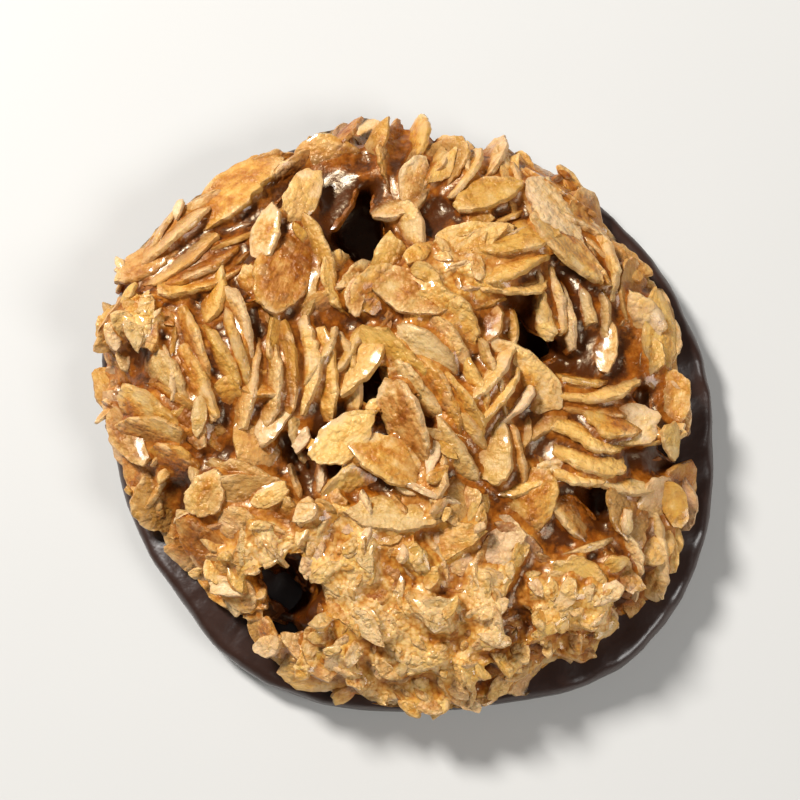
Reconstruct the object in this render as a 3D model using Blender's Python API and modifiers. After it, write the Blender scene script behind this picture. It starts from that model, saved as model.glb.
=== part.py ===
"""Florentine cookie: an uneven dome of caramelised flaked almonds set in a saucer of dark chocolate.

Metres, +Z up. The origin is the middle of the flat underside, so the cookie stands on Z = 0.
Run it with: blender --background --python part.py
"""

import math
import random

import bmesh
import bpy
from mathutils import Matrix, Vector, noise

MM = 0.001

# The chocolate saucer. A wave is (count round the rim, size, heading of its crest in degrees).
SAUCER_RADIUS = 32.4 * MM
SAUCER_WAVES = ((2, 1.5 * MM, -30), (4, 0.6 * MM, -38), (5, 0.4 * MM, 25), (9, 0.2 * MM, 80))
SAUCER_FLOOR = 1.9 * MM
SAUCER_STEPS = 64
LIP_HEIGHT = 3.9 * MM
LIP_WAVES = ((1, 0.35 * MM, -80), (4, 0.4 * MM, -50), (7, 0.3 * MM, 65))
LIP_ROUND = 1.2 * MM
LIP_WIDTH = 4.2 * MM
FOOT_ROUND = 1.7 * MM
ARC_STEPS = 3
PIECE_GAP = 0.3 * MM

# The almond dome, which leaves some of the lip showing.
LIP_SHOWN = 2.1 * MM
LIP_SHOWN_WAVES = ((1, 1.4 * MM, -45), (2, 0.8 * MM, 10), (4, 0.8 * MM, 35))
LEAST_LIP_SHOWN = 0.3 * MM
CROWN_HEIGHT = 12.0 * MM
SHOULDER_HEIGHT = 5.4 * MM
DOME_FOOT = 0.9 * MM
DOME_FLATNESS = 0.78
DOME_WALL = 0.3
DOME_LUMP = 0.9 * MM
DOME_LUMP_SIZE = 9 * MM

# Hollows between the almonds, narrowing down to the chocolate: (x, y, radius).
HOLLOWS = (
    (-5.5 * MM, 20.4 * MM, 2.5 * MM),
    (-3.5 * MM, 16.3 * MM, 1.8 * MM),
    (13.6 * MM, 8.5 * MM, 2.6 * MM),
    (15.6 * MM, 5.2 * MM, 1.5 * MM),
    (-13.5 * MM, 17.0 * MM, 1.5 * MM),
    (-3.9 * MM, 1.0 * MM, 1.4 * MM),
    (-13.0 * MM, -19.1 * MM, 1.9 * MM),
    (17.4 * MM, -9.9 * MM, 1.6 * MM),
)
HOLLOW_FLOOR = 3.4 * MM
HOLLOW_FLARE = 1.35
HOLLOW_SIDES = 9
HOLLOW_BANK = 3.2 * MM

# The almond flakes that stand out of the dome. Those that lie near each other run much the same way.
CROWN_FLAKES = 66
CROWN_FLAKES_REACH = 0.9
CROWN_FLAKE_LEANS = (10, 68)
SIDE_FLAKES = 21
SIDE_FLAKES_REACH = 0.98
SIDE_FLAKE_LEANS = (-20, 25)
FLAKE_LENGTHS = (8.5 * MM, 13.0 * MM)
FLAKE_SLENDERNESS = (0.45, 0.68)
FLAKE_THICKNESS = 1.15 * MM
FLAKE_POINT = 0.28
FLAKE_BEND_RADIUS = 16 * MM
FLAKE_SIDES = 10
FLAKE_PROUD = 0.5 * MM
GRAIN_SIZE = 17 * MM
GRAIN_SWING = 2.5 * math.pi
GRAIN_SCATTER = 0.45
GOLDEN_ANGLE = math.pi * (3 - math.sqrt(5))
SEED = 11

ALMOND_COLOUR = (0.49, 0.235, 0.072, 1)
CHOCOLATE_COLOUR = (0.030, 0.012, 0.008, 1)


def clear_scene():
    for obj in list(bpy.data.objects):
        bpy.data.objects.remove(obj, do_unlink=True)


def new_collection(name):
    collection = bpy.data.collections.new(name)
    bpy.context.scene.collection.children.link(collection)
    return collection


def add_object(name, mesh, collection):
    obj = bpy.data.objects.new(name, mesh)
    collection.objects.link(obj)
    return obj


def as_cutter(obj):
    obj.hide_render = True
    obj.display_type = "WIRE"
    return obj


def food_material(name, colour, roughness, coat):
    material = bpy.data.materials.new(name)
    material.use_nodes = True
    shader = material.node_tree.nodes["Principled BSDF"]
    shader.inputs["Base Color"].default_value = colour
    shader.inputs["Roughness"].default_value = roughness
    shader.inputs["Coat Weight"].default_value = coat
    return material


def wavy(mean, waves, angle):
    """A size that varies round the rim, at an angle: its mean with a few waves added."""
    swings = (size * math.cos(count * (angle - math.radians(heading))) for count, size, heading in waves)
    return mean + sum(swings)


def saucer_radius(angle):
    return wavy(SAUCER_RADIUS, SAUCER_WAVES, angle)


def dome_radius(angle):
    shown = max(wavy(LIP_SHOWN, LIP_SHOWN_WAVES, angle), LEAST_LIP_SHOWN)
    return saucer_radius(angle) - shown


def smooth_step(value):
    share = min(max(value, 0), 1)
    return share * share * (3 - 2 * share)


# The almond dome


def dome_point(direction):
    """Where a point of the unit sphere lies on the dome, before its lumps."""
    angle = math.atan2(direction.y, direction.x)
    spread = math.hypot(direction.x, direction.y)
    if direction.z >= 0:
        height = SHOULDER_HEIGHT + (CROWN_HEIGHT - SHOULDER_HEIGHT) * direction.z**DOME_FLATNESS
    else:
        spread = spread**DOME_WALL
        height = SHOULDER_HEIGHT + (SHOULDER_HEIGHT - DOME_FOOT) * direction.z
    reach = spread * dome_radius(angle)
    return Vector((reach * math.cos(angle), reach * math.sin(angle), height))


def dome_surface(direction):
    """The dome's point for a direction, with the lumps that the spooned mixture keeps."""
    point = dome_point(direction)
    lump = noise.noise(point / DOME_LUMP_SIZE) * DOME_LUMP * (1 + direction.z) / 2
    return point + direction * lump


def make_dome(collection):
    mesh = bpy.data.meshes.new("almond_mass")
    form = bmesh.new()
    bmesh.ops.create_icosphere(form, subdivisions=3, radius=1)
    for vert in form.verts:
        vert.co = dome_surface(vert.co.normalized())
    form.to_mesh(mesh)
    form.free()
    return add_object("almond_mass", mesh, collection)


def make_hollows(collection):
    mesh = bpy.data.meshes.new("hollows")
    form = bmesh.new()
    depth = 2 * CROWN_HEIGHT
    for x, y, radius in HOLLOWS:
        bmesh.ops.create_cone(
            form,
            cap_ends=True,
            segments=HOLLOW_SIDES,
            radius1=radius,
            radius2=radius * (1 + (HOLLOW_FLARE - 1) * depth / (CROWN_HEIGHT - HOLLOW_FLOOR)),
            depth=depth,
            matrix=Matrix.Translation((x, y, HOLLOW_FLOOR + depth / 2)),
        )
    form.to_mesh(mesh)
    form.free()
    return as_cutter(add_object("hollows", mesh, collection))


# The flakes


def add_flake(form, length, width, place):
    """One bent almond slice: a disc drawn out to a blunt tip at +X, set by a matrix."""
    made = bmesh.ops.create_cone(
        form,
        cap_ends=True,
        cap_tris=True,
        segments=FLAKE_SIDES,
        radius1=1,
        radius2=1,
        depth=FLAKE_THICKNESS,
    )
    for vert in made["verts"]:
        along, across, lift = vert.co
        x = along * length / 2
        y = across * width / 2 * (1 - FLAKE_POINT * along)
        vert.co = place @ Vector((x, y, lift - x * x / (2 * FLAKE_BEND_RADIUS)))


def dome_normal(direction):
    """The way out of the dome at a direction, from two short steps along its surface."""
    step = 0.02
    across = Vector((-direction.y, direction.x, 0)).normalized()
    down = across.cross(direction)
    seat = dome_surface(direction)
    along_across = dome_surface((direction + across * step).normalized()) - seat
    along_down = dome_surface((direction + down * step).normalized()) - seat
    return along_down.cross(along_across).normalized()


def toward(share, heading):
    """The direction to the dome's surface at a share of the way to its rim."""
    return Vector((share * math.cos(heading), share * math.sin(heading), math.sqrt(1 - share * share)))


def bed(share, heading, lean, scatter):
    """The matrix that beds a flake in the dome: along the grain, give or take a scatter, and leaning out."""
    direction = toward(share, heading)
    place = dome_surface(direction)
    normal = dome_normal(direction)
    upright = normal.to_track_quat("Z", "Y").to_matrix()
    turn = Matrix.Rotation(grain(place) + scatter, 3, "Z") @ Matrix.Rotation(math.radians(lean), 3, "X")
    return Matrix.Translation(place + normal * FLAKE_PROUD) @ (upright @ turn).to_4x4()


def grain(place):
    """Which way the flakes run about a place."""
    return noise.noise(place / GRAIN_SIZE) * GRAIN_SWING


def over_hollow(place):
    return any(math.hypot(place.x - x, place.y - y) < radius + HOLLOW_BANK for x, y, radius in HOLLOWS)


def flake_beds(dice):
    """A bed for every flake: a spiral over the crown that misses the hollows, then a ring round the side."""
    for index in range(CROWN_FLAKES):
        share = math.sqrt((index + 0.5) / CROWN_FLAKES) * CROWN_FLAKES_REACH
        heading = index * GOLDEN_ANGLE + dice.uniform(-0.15, 0.15)
        lean = dice.uniform(*CROWN_FLAKE_LEANS)
        scatter = dice.gauss(0, GRAIN_SCATTER)
        if not over_hollow(dome_surface(toward(share, heading))):
            yield bed(share, heading, lean, scatter)
    for index in range(SIDE_FLAKES):
        heading = (index + dice.uniform(-0.3, 0.3)) * 2 * math.pi / SIDE_FLAKES
        yield bed(SIDE_FLAKES_REACH, heading, dice.uniform(*SIDE_FLAKE_LEANS), dice.gauss(0, GRAIN_SCATTER))


def make_flakes(collection):
    dice = random.Random(SEED)
    mesh = bpy.data.meshes.new("flake_relief")
    form = bmesh.new()
    for place in flake_beds(dice):
        length = dice.uniform(*FLAKE_LENGTHS)
        add_flake(form, length, length * dice.uniform(*FLAKE_SLENDERNESS), place)
    form.to_mesh(mesh)
    form.free()
    return as_cutter(add_object("flake_relief", mesh, collection))


# The chocolate saucer


def arc(centre_r, centre_z, radius, start, end):
    """Points of a profile's round stretch, as (distance from the axis, height)."""
    angles = [math.radians(start + (end - start) * step / ARC_STEPS) for step in range(ARC_STEPS + 1)]
    return [(centre_r + radius * math.cos(a), centre_z + radius * math.sin(a)) for a in angles]


def saucer_hollow(gap):
    """The profile from the axis out over the saucer's floor and up to its lip, raised by a gap."""
    inner = SAUCER_RADIUS - LIP_WIDTH
    floor = SAUCER_FLOOR + gap
    crest = arc(SAUCER_RADIUS - LIP_ROUND, LIP_HEIGHT - LIP_ROUND, LIP_ROUND + gap, 160, 90)
    return [(0, floor), (inner * 0.5, floor), (inner - gap, floor)] + crest


def saucer_profile():
    outer = arc(SAUCER_RADIUS - LIP_ROUND, LIP_HEIGHT - LIP_ROUND, LIP_ROUND, 90, 0)[1:]
    foot = arc(SAUCER_RADIUS - FOOT_ROUND, FOOT_ROUND, FOOT_ROUND, 0, -90)
    return saucer_hollow(0) + outer + foot + [(0, 0)]


def below_saucer_profile():
    """All that lies under the saucer's upper surface and beside its lip, which the dome may not enter."""
    beside = 2 * SAUCER_RADIUS
    below = -SAUCER_RADIUS / 2
    top = saucer_hollow(PIECE_GAP)
    return top + [(beside, top[-1][1]), (beside, below), (0, below)]


def turned(name, profile, collection):
    """A profile turned about Z, then given the saucer's uneven outline and its wavy lip."""
    outline = bpy.data.meshes.new(name + "_profile")
    outline.from_pydata([(r, 0, z) for r, z in profile], [(i, i + 1) for i in range(len(profile) - 1)], [])
    guide = add_object(name + "_profile", outline, collection)
    screw = guide.modifiers.new("turn", "SCREW")
    screw.steps = screw.render_steps = SAUCER_STEPS
    screw.use_merge_vertices = True
    screw.merge_threshold = 0.00005
    graph = bpy.context.evaluated_depsgraph_get()
    mesh = bpy.data.meshes.new_from_object(guide.evaluated_get(graph))
    mesh.name = name
    bpy.data.objects.remove(guide, do_unlink=True)
    for vert in mesh.vertices:
        angle = math.atan2(vert.co.y, vert.co.x)
        swell = saucer_radius(angle) / SAUCER_RADIUS
        climb = smooth_step((vert.co.z - SAUCER_FLOOR) / (LIP_HEIGHT - SAUCER_FLOOR))
        height = vert.co.z + climb * wavy(0, LIP_WAVES, angle)
        vert.co = Vector((vert.co.x * swell, vert.co.y * swell, height))
    return add_object(name, mesh, collection)


def combine(obj, other, operation, use_self=False):
    modifier = obj.modifiers.new(operation.lower() + "_" + other.name, "BOOLEAN")
    modifier.object = other
    modifier.operation = operation
    modifier.solver = "EXACT"
    modifier.use_self = use_self


def baked(obj):
    """The object with its modifiers applied and only its main shell kept: no sealed pocket, no loose chip."""
    graph = bpy.context.evaluated_depsgraph_get()
    form = bmesh.new()
    form.from_mesh(bpy.data.meshes.new_from_object(obj.evaluated_get(graph)))
    waiting = set(form.verts)
    shells = []
    while waiting:
        shell = {waiting.pop()}
        edge = list(shell)
        while edge:
            linked = {link.other_vert(vert) for vert in edge for link in vert.link_edges}
            edge = list(linked - shell)
            shell |= linked
        waiting -= shell
        shells.append(shell)
    main_shell = max(shells, key=len)
    bmesh.ops.delete(form, geom=[vert for vert in form.verts if vert not in main_shell], context="VERTS")
    obj.modifiers.clear()
    form.to_mesh(obj.data)
    form.free()


def finish(obj, material):
    obj.data.materials.clear()
    obj.data.materials.append(material)
    obj.data.shade_flat()


def main():
    clear_scene()
    cookie = new_collection("florentine_cookie")
    cutters = new_collection("cutters")

    saucer = turned("chocolate_base", saucer_profile(), cookie)
    finish(saucer, food_material("dark_chocolate", CHOCOLATE_COLOUR, 0.32, 0.3))
    saucer.data.shade_smooth()

    dome = make_dome(cookie)
    combine(dome, make_hollows(cutters), "DIFFERENCE", use_self=True)
    combine(dome, make_flakes(cutters), "UNION", use_self=True)
    combine(dome, as_cutter(turned("below_saucer", below_saucer_profile(), cutters)), "DIFFERENCE")
    baked(dome)
    finish(dome, food_material("caramelised_almond", ALMOND_COLOUR, 0.38, 0.5))


main()
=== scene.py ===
"""Looks of a florentine cookie: flaked almonds bedded in caramel on a saucer of dark chocolate.

Metres, +Z up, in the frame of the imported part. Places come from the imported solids.
"""

import math
from dataclasses import dataclass

import bmesh
import bpy
import numpy as np
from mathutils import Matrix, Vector, noise
from mathutils.bvhtree import BVHTree

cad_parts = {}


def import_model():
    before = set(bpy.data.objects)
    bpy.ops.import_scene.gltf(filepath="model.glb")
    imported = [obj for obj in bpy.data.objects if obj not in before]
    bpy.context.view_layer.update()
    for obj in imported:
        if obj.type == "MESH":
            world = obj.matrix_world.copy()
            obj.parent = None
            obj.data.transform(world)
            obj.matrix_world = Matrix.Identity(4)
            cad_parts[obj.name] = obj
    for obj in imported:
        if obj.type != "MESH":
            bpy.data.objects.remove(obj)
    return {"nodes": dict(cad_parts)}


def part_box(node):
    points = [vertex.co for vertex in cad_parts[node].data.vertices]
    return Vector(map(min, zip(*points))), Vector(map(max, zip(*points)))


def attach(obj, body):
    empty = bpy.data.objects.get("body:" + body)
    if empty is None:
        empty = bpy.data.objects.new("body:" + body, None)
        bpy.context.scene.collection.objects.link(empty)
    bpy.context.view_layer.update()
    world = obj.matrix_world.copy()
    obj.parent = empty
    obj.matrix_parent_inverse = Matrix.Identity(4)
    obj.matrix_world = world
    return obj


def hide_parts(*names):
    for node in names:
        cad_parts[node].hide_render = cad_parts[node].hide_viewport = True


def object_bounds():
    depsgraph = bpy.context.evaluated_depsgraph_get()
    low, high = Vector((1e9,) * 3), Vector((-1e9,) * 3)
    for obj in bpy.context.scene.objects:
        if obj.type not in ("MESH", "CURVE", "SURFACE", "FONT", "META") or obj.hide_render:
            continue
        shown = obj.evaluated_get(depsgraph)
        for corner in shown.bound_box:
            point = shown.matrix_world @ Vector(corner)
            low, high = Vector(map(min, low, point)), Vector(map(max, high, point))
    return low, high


MM = 0.001
SEED = 7

# Rays that look down on the cookie start this high, and those that look at its side this far out.
OVERHEAD = 50 * MM
ASIDE = 100 * MM
DOWN = Vector((0, 0, -1))

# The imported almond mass, smoothed into the surface that the flakes are laid on.
SURFACE_ROWS = 24
SURFACE_COLUMNS = 96
SURFACE_SMOOTHING = 5
SURFACE_FOOT = 2.6 * MM

# Where the lip shows widest the almonds draw in: heading and spread in degrees, and how far.
BARE_LIP = (229, 24, 3.0 * MM)

# A point this deep under the surface counts as fully sunk, and the caramel's heart lies about this deep. Its
# pits have sides this wide, and a floor this far below the surface's middle.
DEPTH_SPAN = 4 * MM
HEART_DEPTH = 4.2 * MM
PIT_SIDE = 1.2 * MM
PIT_FLOOR = 1.2 * MM

# Nooks are measured over a plan grid of this cell, this many cells each way, blurred this many times, and run
# from 0 to 1 over this span of heights.
NOOK_CELL = 0.35 * MM
NOOK_REACH = 104
NOOK_BLUR = 12
NOOK_SPAN = 3 * MM

# Caramel bridges the gaps that are up to twice this wide, and is worked out in cells of this size.
CARAMEL_SPREAD = 0.38 * MM
CARAMEL_CELL = 0.42 * MM

# It coats the flakes this thickly. Within this depth of the surface it is drawn back so far where the mix is
# firm, and a little wherever it is crumbly.
CARAMEL_COAT = 0.1 * MM
TOP_DEPTH = 2.5 * MM
FIRM_BACK = 0.4 * MM
CRUMBLY_BACK = 0.05 * MM

# Edges sharper than this angle in degrees stay crisp.
CRISP_ANGLE = 48

# How thick almonds are sliced, thinnest and thickest in millimetres.
SLICED = (0.55, 0.85)

# How far a bold flake stands out of the surface, how far an end of any flake may, and how much flatter than
# the surface flakes settle.
BOLD_PROUD = 1.5 * MM
MOST_PROUD = 1.9 * MM
SETTLING = 1.3

# By what share less they may stand out at the rim.
RIM_TUCK = 0.8

# The chocolate: steps round its rim, the rounding of its lip and foot, its level in the middle, and how low
# almonds reach in it.
RIM_STEPS = 360
LIP_ROUND = 1.1 * MM
FOOT_ROUND = 1.5 * MM
CHOCOLATE_BED = 3.2 * MM
SUNK = 2.2 * MM

# How far over the lip almonds lie, how far in from the edge they start to sink, and over what way they do.
LIP_CLEAR = 0.1 * MM
LIP_REST = 0.4 * MM
LIP_SLOPE = 2.2 * MM

# Lumps of the chocolate inside: the size of the broad ones and of the fine ones on them, how high they stand,
# and over how many rings they grow.
BROAD_LUMPS = 3.2 * MM
FINE_LUMPS = 1.3 * MM
LUMP_HEIGHT = 0.35 * MM
LUMP_RINGS = 8

# Rings of the saucer: on its underside and up its wall as shares, round its foot and over its lip as counts,
# and inward from its lip in millimetres.
UNDERSIDE_RINGS = (0.35, 0.7, 0.9)
FOOT_RINGS = 9
WALL_RINGS = (0.35, 0.7)
LIP_RINGS = 10
INWARD_RINGS = (0.6, 1.3, 2.1, 3.0, 4.0, 5.2, 6.6, 8.2, 10, 12, 15, 18, 22, 26)

# Broken bits of almond: how many places are tried, how far down the sides as a tilt from the crown, how high
# over the surface they start and how far they may fall.
NIB_TRIES = 4200
NIB_LOWEST = math.radians(88)
NIB_START = 8 * MM
NIB_FALL = 14 * MM

# The streaks along a flake are this many times as long as wide.
STREAK_STRETCH = 4

# How closely the points of a flake crowd to its edge: near 0 they are even, and a quarter turn is the most.
EDGE_CROWDING = 1.15

# A flake is (x, y, run in degrees, length, width, lean in degrees, toast), and all sizes are in millimetres.
# Lean 0 shows its broad face and 90 its edge. Toast runs from 0, pale cream, to 1, deep amber.
BOLD_FLAKES = (
    (-19.5, 24.0, 40, 13.0, 6.0, 16, 0.50),
    (-19.8, 19.2, 26, 15.0, 4.6, 62, 0.62),
    (-23.5, 15.0, 30, 10.0, 4.0, 48, 0.85),
    (-10.5, 16.7, 112, 10.5, 4.8, 34, 0.66),
    (-8.2, 23.9, 58, 9.0, 4.6, 24, 0.35),
    (-9.0, 28.0, 5, 9.0, 6.4, -24, 0.62),
    (-15.6, 27.4, 20, 7.5, 5.0, -34, 0.55),
    (-15.2, 18.4, 78, 6.6, 3.4, 22, 0.28),
    (-21.0, 12.6, 82, 7.4, 3.6, 34, 0.30),
    (-0.4, 18.0, 98, 9.5, 5.0, 42, 0.22),
    (-1.0, 24.0, 50, 7.5, 5.6, 20, 0.42),
    (0.6, 12.0, -18, 10.5, 5.6, 12, 0.44),
    (22.8, 11.2, 40, 10.0, 4.4, 52, 0.50),
    (25.4, 6.6, 100, 5.6, 4.4, 20, 0.10),
    (-2.6, -5.6, -28, 8.2, 4.6, 18, 0.40),
    (-6.6, -3.4, 38, 8.0, 4.4, 4, 0.04),
    (-5.8, -8.2, 46, 8.4, 4.2, -30, 0.14),
    (-0.8, -11.2, 2, 11.0, 4.4, 30, 0.12),
    (2.4, -8.8, -22, 6.4, 3.2, 66, 0.06),
    (12.6, -10.0, 82, 7.6, 5.2, 12, 0.52),
    (26.2, -10.4, 60, 6.4, 5.4, -22, 0.62),
    (-26.6, -9.4, 70, 7.6, 6.8, -30, 0.80),
    (-21.0, -9.0, 60, 5.2, 4.0, 8, 0.46),
    (7.2, -14.4, 8, 9.4, 7.0, 8, 0.46),
    (16.8, -15.0, 21, 11.5, 4.2, 72, 0.22),
    (-4.6, -19.4, 34, 8.6, 5.0, 14, 0.58),
    (-9.0, -27.0, 10, 9.0, 6.0, -22, 0.26),
    (19.6, -24.0, -52, 6.4, 3.6, 16, 0.14),
    (-17.2, -13.6, 150, 8.0, 5.0, 20, 0.56),
    (-27.4, 5.8, 60, 9.0, 5.0, 36, 0.60),
    (28.2, 1.0, 84, 7.4, 4.2, 24, 0.52),
)

# A sheaf of flakes side by side is (x, y, run, count, gap between flakes, length, lean, fan, toast). Its run,
# lean and fan are in degrees, and its gap and length in millimetres.
SHEAVES = (
    (-21.6, 4.8, 114, 6, 1.8, 11.0, 42, 12, 0.62),
    (-12.4, 3.6, 93, 6, 2.0, 13.5, 40, -12, 0.52),
    (-7.2, 6.2, 62, 3, 1.9, 12.0, 42, 6, 0.24),
    (3.5, 0.6, 115, 6, 1.9, 12.0, 46, 14, 0.34),
    (8.4, 1.0, 60, 3, 1.8, 8.4, 52, -8, 0.12),
    (19.6, -1.4, -6, 7, 1.8, 9.6, 46, 36, 0.30),
    (17.6, 11.2, 108, 6, 1.6, 10.5, 52, 18, 0.30),
    (24.2, -14.8, 112, 5, 1.8, 9.0, 44, 26, 0.38),
    (2.0, 6.4, 140, 4, 2.1, 10.0, 36, 8, 0.30),
    (9.0, 18.0, 20, 6, 1.9, 10.0, 42, 18, 0.42),
    (18.0, 21.0, -40, 5, 1.9, 10.0, 40, 24, 0.50),
    (4.0, 27.0, 75, 5, 1.9, 9.0, 42, 14, 0.56),
    (-26.0, -2.4, 150, 4, 1.9, 8.0, 38, 16, 0.60),
    (-23.6, 16.8, 34, 4, 2.2, 12.0, 34, 10, 0.58),
)

# Hollows between the flakes, down to the chocolate: (x, y, radius) in millimetres.
HOLLOWS = (
    (-5.5, 20.6, 2.3),
    (-4.0, 17.4, 1.7),
    (13.3, 9.2, 1.9),
    (15.0, 6.2, 1.2),
    (-13.7, 17.0, 1.3),
    (-4.1, 1.2, 1.5),
    (-13.0, -18.6, 1.9),
    (17.3, -9.9, 1.5),
    (-12.5, -6.4, 1.0),
    (-19.0, -10.6, 0.9),
    (27.4, -5.9, 1.2),
    (25.3, 1.2, 0.9),
    (-12.7, 25.0, 0.9),
    (26.3, -18.9, 1.3),
    (6.4, -5.7, 0.8),
)

# How far flakes keep off a hollow, how far its edge wanders, and over what length.
HOLLOW_MARGIN = 0.4 * MM
HOLLOW_WANDER = 0.9 * MM
HOLLOW_WAVE = 1.8 * MM

# How far scattered flakes turn off the run of the nearest sheaf, in radians, and the size of such swirls.
SWIRL_TURN = 1.3
SWIRL_SIZE = 9 * MM

# Where the mix is crumbly, as (x, y, radius) in millimetres.
CRUMBLY = ((0, -23, 11), (10, -22, 8), (-15, -15, 4.5), (19, -21, 4), (-28, 9, 3), (-6, -17, 7), (5, 13, 4))


# Shader values


class Value:
    """One output of a shading's nodes. Maths written with values adds the Math nodes that work it out."""

    def __init__(self, shading, socket):
        self.shading = shading
        self.socket = socket

    def maths(self, operation, first, second):
        return self.shading.node("ShaderNodeMath", {"operation": operation}, {0: first, 1: second})

    def __add__(self, other):
        return self.maths("ADD", self, other)

    def __radd__(self, other):
        return self.maths("ADD", other, self)

    def __sub__(self, other):
        return self.maths("SUBTRACT", self, other)

    def __rsub__(self, other):
        return self.maths("SUBTRACT", other, self)

    def __mul__(self, other):
        return self.maths("MULTIPLY", self, other)

    def __rmul__(self, other):
        return self.maths("MULTIPLY", other, self)


class Shading:
    """The nodes of a material or of the studio's walls, and the shader that they feed."""

    def __init__(self, owner, shader):
        owner.use_nodes = True
        self.tree = owner.node_tree
        self.shader = self.tree.nodes[shader]

    def node(self, kind, settings=None, sockets=None, output=0):
        """Adds a node: its settings first, then the values or links of its sockets."""
        made = self.tree.nodes.new(kind)
        for name, value in (settings or {}).items():
            if name == "stops":
                self.set_stops(made.color_ramp, value)
            else:
                setattr(made, name, value)
        for name, value in (sockets or {}).items():
            self.feed(made.inputs[name], value)
        return Value(self, made.outputs[output])

    def set_stops(self, ramp, stops):
        while len(ramp.elements) < len(stops):
            ramp.elements.new(0.5)
        for element, (place, colour) in zip(ramp.elements, stops):
            element.position = place
            element.color = (*colour, 1)

    def feed(self, socket, value):
        """Links a socket to a value, or sets it to a number, a vector or an opaque colour."""
        if isinstance(value, Value):
            self.tree.links.new(value.socket, socket)
        elif socket.type == "RGBA":
            socket.default_value = (*value, 1)
        else:
            socket.default_value = value

    def set(self, socket, value):
        self.feed(self.shader.inputs[socket], value)

    def place(self, output="Object"):
        return self.node("ShaderNodeTexCoord", output=output)

    def height(self, place):
        return self.node("ShaderNodeSeparateXYZ", {}, {0: place}, output="Z")

    def step(self, value, low, high, before=0.0, after=1.0):
        """A smooth change from one number below a range of the value to another above it."""
        sockets = {"Value": value, "From Min": low, "From Max": high, "To Min": before, "To Max": after}
        return self.node("ShaderNodeMapRange", {"interpolation_type": "SMOOTHSTEP"}, sockets)


class Finish(Shading):
    """A material in the making: one Principled shader, its constants and the nodes that feed it."""

    def __init__(self, name, **constants):
        self.material = bpy.data.materials.new(name)
        super().__init__(self.material, "Principled BSDF")
        for socket, value in constants.items():
            self.set(socket.replace("_", " "), value)

    def attribute(self, name, output="Fac"):
        return self.node("ShaderNodeAttribute", {"attribute_name": name}, output=output)

    def grain(self, size, detail=3, roughness=0.55, place=None):
        """Cloudy noise from 0 to 1 with lumps of a size in metres."""
        place = place or self.place()
        sockets = {"Vector": place, "Scale": 1 / size, "Detail": detail, "Roughness": roughness}
        return self.node("ShaderNodeTexNoise", {}, sockets, output="Fac")

    def froth(self, size):
        """Small round bubbles: 1 at the middle of each, falling off to the seams between them."""
        sockets = {"Vector": self.place(), "Scale": 1 / size, "Randomness": 1.0}
        away = self.node("ShaderNodeTexVoronoi", {"feature": "F1"}, sockets, output="Distance")
        return 1 - away * away

    def ramp(self, value, stops):
        return self.node("ShaderNodeValToRGB", {"stops": stops}, {"Fac": value})

    def mix(self, share, first, second, blend="MIX"):
        """A blend of two colours."""
        sockets = {"Factor": share, 6: first, 7: second}
        return self.node("ShaderNodeMix", {"data_type": "RGBA", "blend_type": blend}, sockets, output=2)

    def relief(self, height, distance, strength=1.0):
        sockets = {"Height": height, "Distance": distance, "Strength": strength}
        self.set("Normal", self.node("ShaderNodeBump", {}, sockets))


# Meshes


def smooth(share):
    """A share held between 0 and 1 that sets off and ends gently."""
    share = np.clip(share, 0, 1)
    return share * share * (3 - 2 * share)


def unit(vectors):
    return vectors / np.linalg.norm(vectors, axis=-1, keepdims=True)


def points_of(piece, kind="co"):
    """A piece's points or, with the kind "normal", the ways out of it there."""
    points = np.empty(len(piece.data.vertices) * 3)
    piece.data.vertices.foreach_get(kind, points)
    return points.reshape(-1, 3)


def move_points(piece, points):
    piece.data.vertices.foreach_set("co", points.ravel())
    piece.data.update()


def blurred(grid, axis):
    """Numbers in a grid, each drawn toward its two neighbours along an axis that closes on itself."""
    return (np.roll(grid, 1, axis) + 2 * grid + np.roll(grid, -1, axis)) / 4


def tree_of(pieces):
    """One tree of all the faces of some pieces, for casting rays."""
    corners, faces = [], []
    for piece in pieces:
        faces += [[len(corners) + index for index in face.vertices] for face in piece.data.polygons]
        corners += [tuple(point) for point in points_of(piece)]
    return BVHTree.FromPolygons(corners, faces)


def in_scene(name, data):
    """A new object in the scene."""
    made = bpy.data.objects.new(name, data)
    bpy.context.scene.collection.objects.link(made)
    return made


def mark(mesh, attribute, values):
    """Keeps a number or a vector at each point of a mesh."""
    kind, slot = ("FLOAT", "value") if np.ndim(values) == 1 else ("FLOAT_VECTOR", "vector")
    layer = mesh.attributes.get(attribute) or mesh.attributes.new(attribute, kind, "POINT")
    layer.data.foreach_set(slot, np.asarray(values, np.float32).ravel())


def new_piece(name, points, faces, **attributes):
    """A smooth mesh object with a number or a vector at each point for every attribute."""
    mesh = bpy.data.meshes.new(name)
    mesh.from_pydata(points, [], faces)
    for attribute, values in attributes.items():
        mark(mesh, attribute, values)
    mesh.shade_smooth()
    return in_scene(name, mesh)


def ring_faces(rings, columns, falling=False):
    """The faces between rings of points that are listed from the bottom up or, falling, from the top down."""
    number = np.arange(rings * columns).reshape(rings, columns)
    after = np.roll(number, -1, axis=1)
    faces = np.stack([number[:-1], after[:-1], after[1:], number[1:]], axis=-1).reshape(-1, 4)
    return (faces[:, [0, 3, 2, 1]] if falling else faces).tolist()


def fan_faces(ring, columns, tip, below=False):
    """The faces between one of the rings and a point above it or, where so said, below it."""
    number = ring * columns + np.arange(columns)
    after = np.roll(number, -1)
    ends = [after, number] if below else [number, after]
    return np.stack([*ends, np.full(columns, tip)], axis=-1).tolist()


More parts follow.
